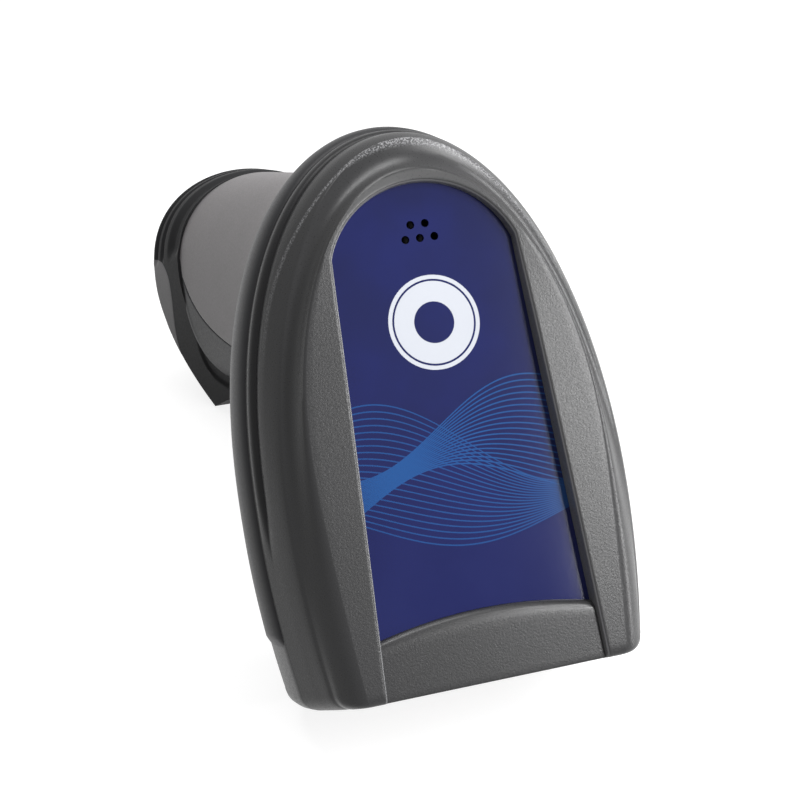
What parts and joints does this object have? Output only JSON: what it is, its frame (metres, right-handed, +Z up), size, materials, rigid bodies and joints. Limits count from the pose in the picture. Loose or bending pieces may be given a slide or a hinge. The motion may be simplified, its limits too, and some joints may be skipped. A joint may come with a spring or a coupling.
{
  "type": "barcode scanner",
  "caption": "Hand-held cordless imaging scanner: oval head with a recessed printed panel and a rubber bumper, nose window, sprung trigger, and a raked two-tone grip with a flared rubber foot.",
  "frame": {"origin": "centre of the scanner's footprint box on the surface it rests on, with the scanner leaning on its nose and on its foot's front edge", "axes": "+X to the scanner's right, +Y from the nose towards the foot along the floor, +Z up"},
  "size_m": [0.0688, 0.1705, 0.0984],
  "materials": {
    "upper_shell": "fine-grained moulded plastic",
    "label_panel": "glossy printed panel",
    "bumper": "smooth soft rubber",
    "lower_shell": "fine-grained moulded plastic",
    "nose_frame": "fine-grained moulded plastic",
    "window_gasket": "foam rubber",
    "scan_window": "tinted clear window",
    "engine_housing": "moulded plastic",
    "engine_lens": "coated glass",
    "aimer_lens": "clear lens",
    "illumination_leds": "clear lens over a white lamp",
    "engine_bracket": "folded sheet",
    "main_board": "coated circuit board",
    "board_chips": "moulded chips",
    "buzzer": "moulded plastic",
    "grip_front": "fine-grained moulded plastic",
    "grip_rear": "fine matt plastic",
    "foot": "soft rubber",
    "foot_trim_left": "fine matt plastic",
    "foot_trim_right": "fine matt plastic",
    "foot_plate": "moulded plastic",
    "charge_contacts": "gold-plated",
    "charge_port": "plated sheet steel",
    "charge_board": "coated circuit board",
    "battery_cell": "shrink-wrapped cell",
    "battery_cradle": "moulded plastic",
    "trigger": "smooth moulded plastic",
    "trigger_pin": "ground steel",
    "trigger_frame": "moulded plastic",
    "trigger_spring": "spring wire",
    "trigger_switch": "moulded plastic",
    "case_screws": "plated steel"
  },
  "bodies": {
    "scanner": {"upper_shell": "upper_shell", "label_panel": "label_panel", "bumper": "bumper", "lower_shell": "lower_shell", "nose_frame": "nose_frame", "window_gasket": "window_gasket", "scan_window": "scan_window", "engine_housing": "engine_housing", "engine_lens": "engine_lens", "aimer_lens": "aimer_lens", "illumination_leds": "illumination_leds", "engine_bracket": "engine_bracket", "main_board": "main_board", "board_chips": "board_chips", "buzzer": "buzzer", "grip_front": "grip_front", "grip_rear": "grip_rear", "foot": "foot", "foot_trim_left": "foot_trim_left", "foot_trim_right": "foot_trim_right", "foot_plate": "foot_plate", "charge_contacts": "charge_contacts", "charge_port": "charge_port", "charge_board": "charge_board", "battery_cell": "battery_cell", "battery_cradle": "battery_cradle", "trigger_pin": "trigger_pin", "trigger_frame": "trigger_frame", "trigger_spring": "trigger_spring", "trigger_switch": "trigger_switch", "case_screws": "case_screws"},
    "trigger_body": {"trigger": "trigger"}
  },
  "joints": [
    {"name": "trigger_pull", "type": "hinge", "parent": "scanner", "child": "trigger_body", "pos_m": [0, -0.01656, 0.04594], "axis": [1, 0, 0], "range_deg": [0, 3.5], "stiffness_Nm_per_rad": 0.6, "springref_deg": -2.86, "deforming": ["trigger_spring"]}
  ]
}
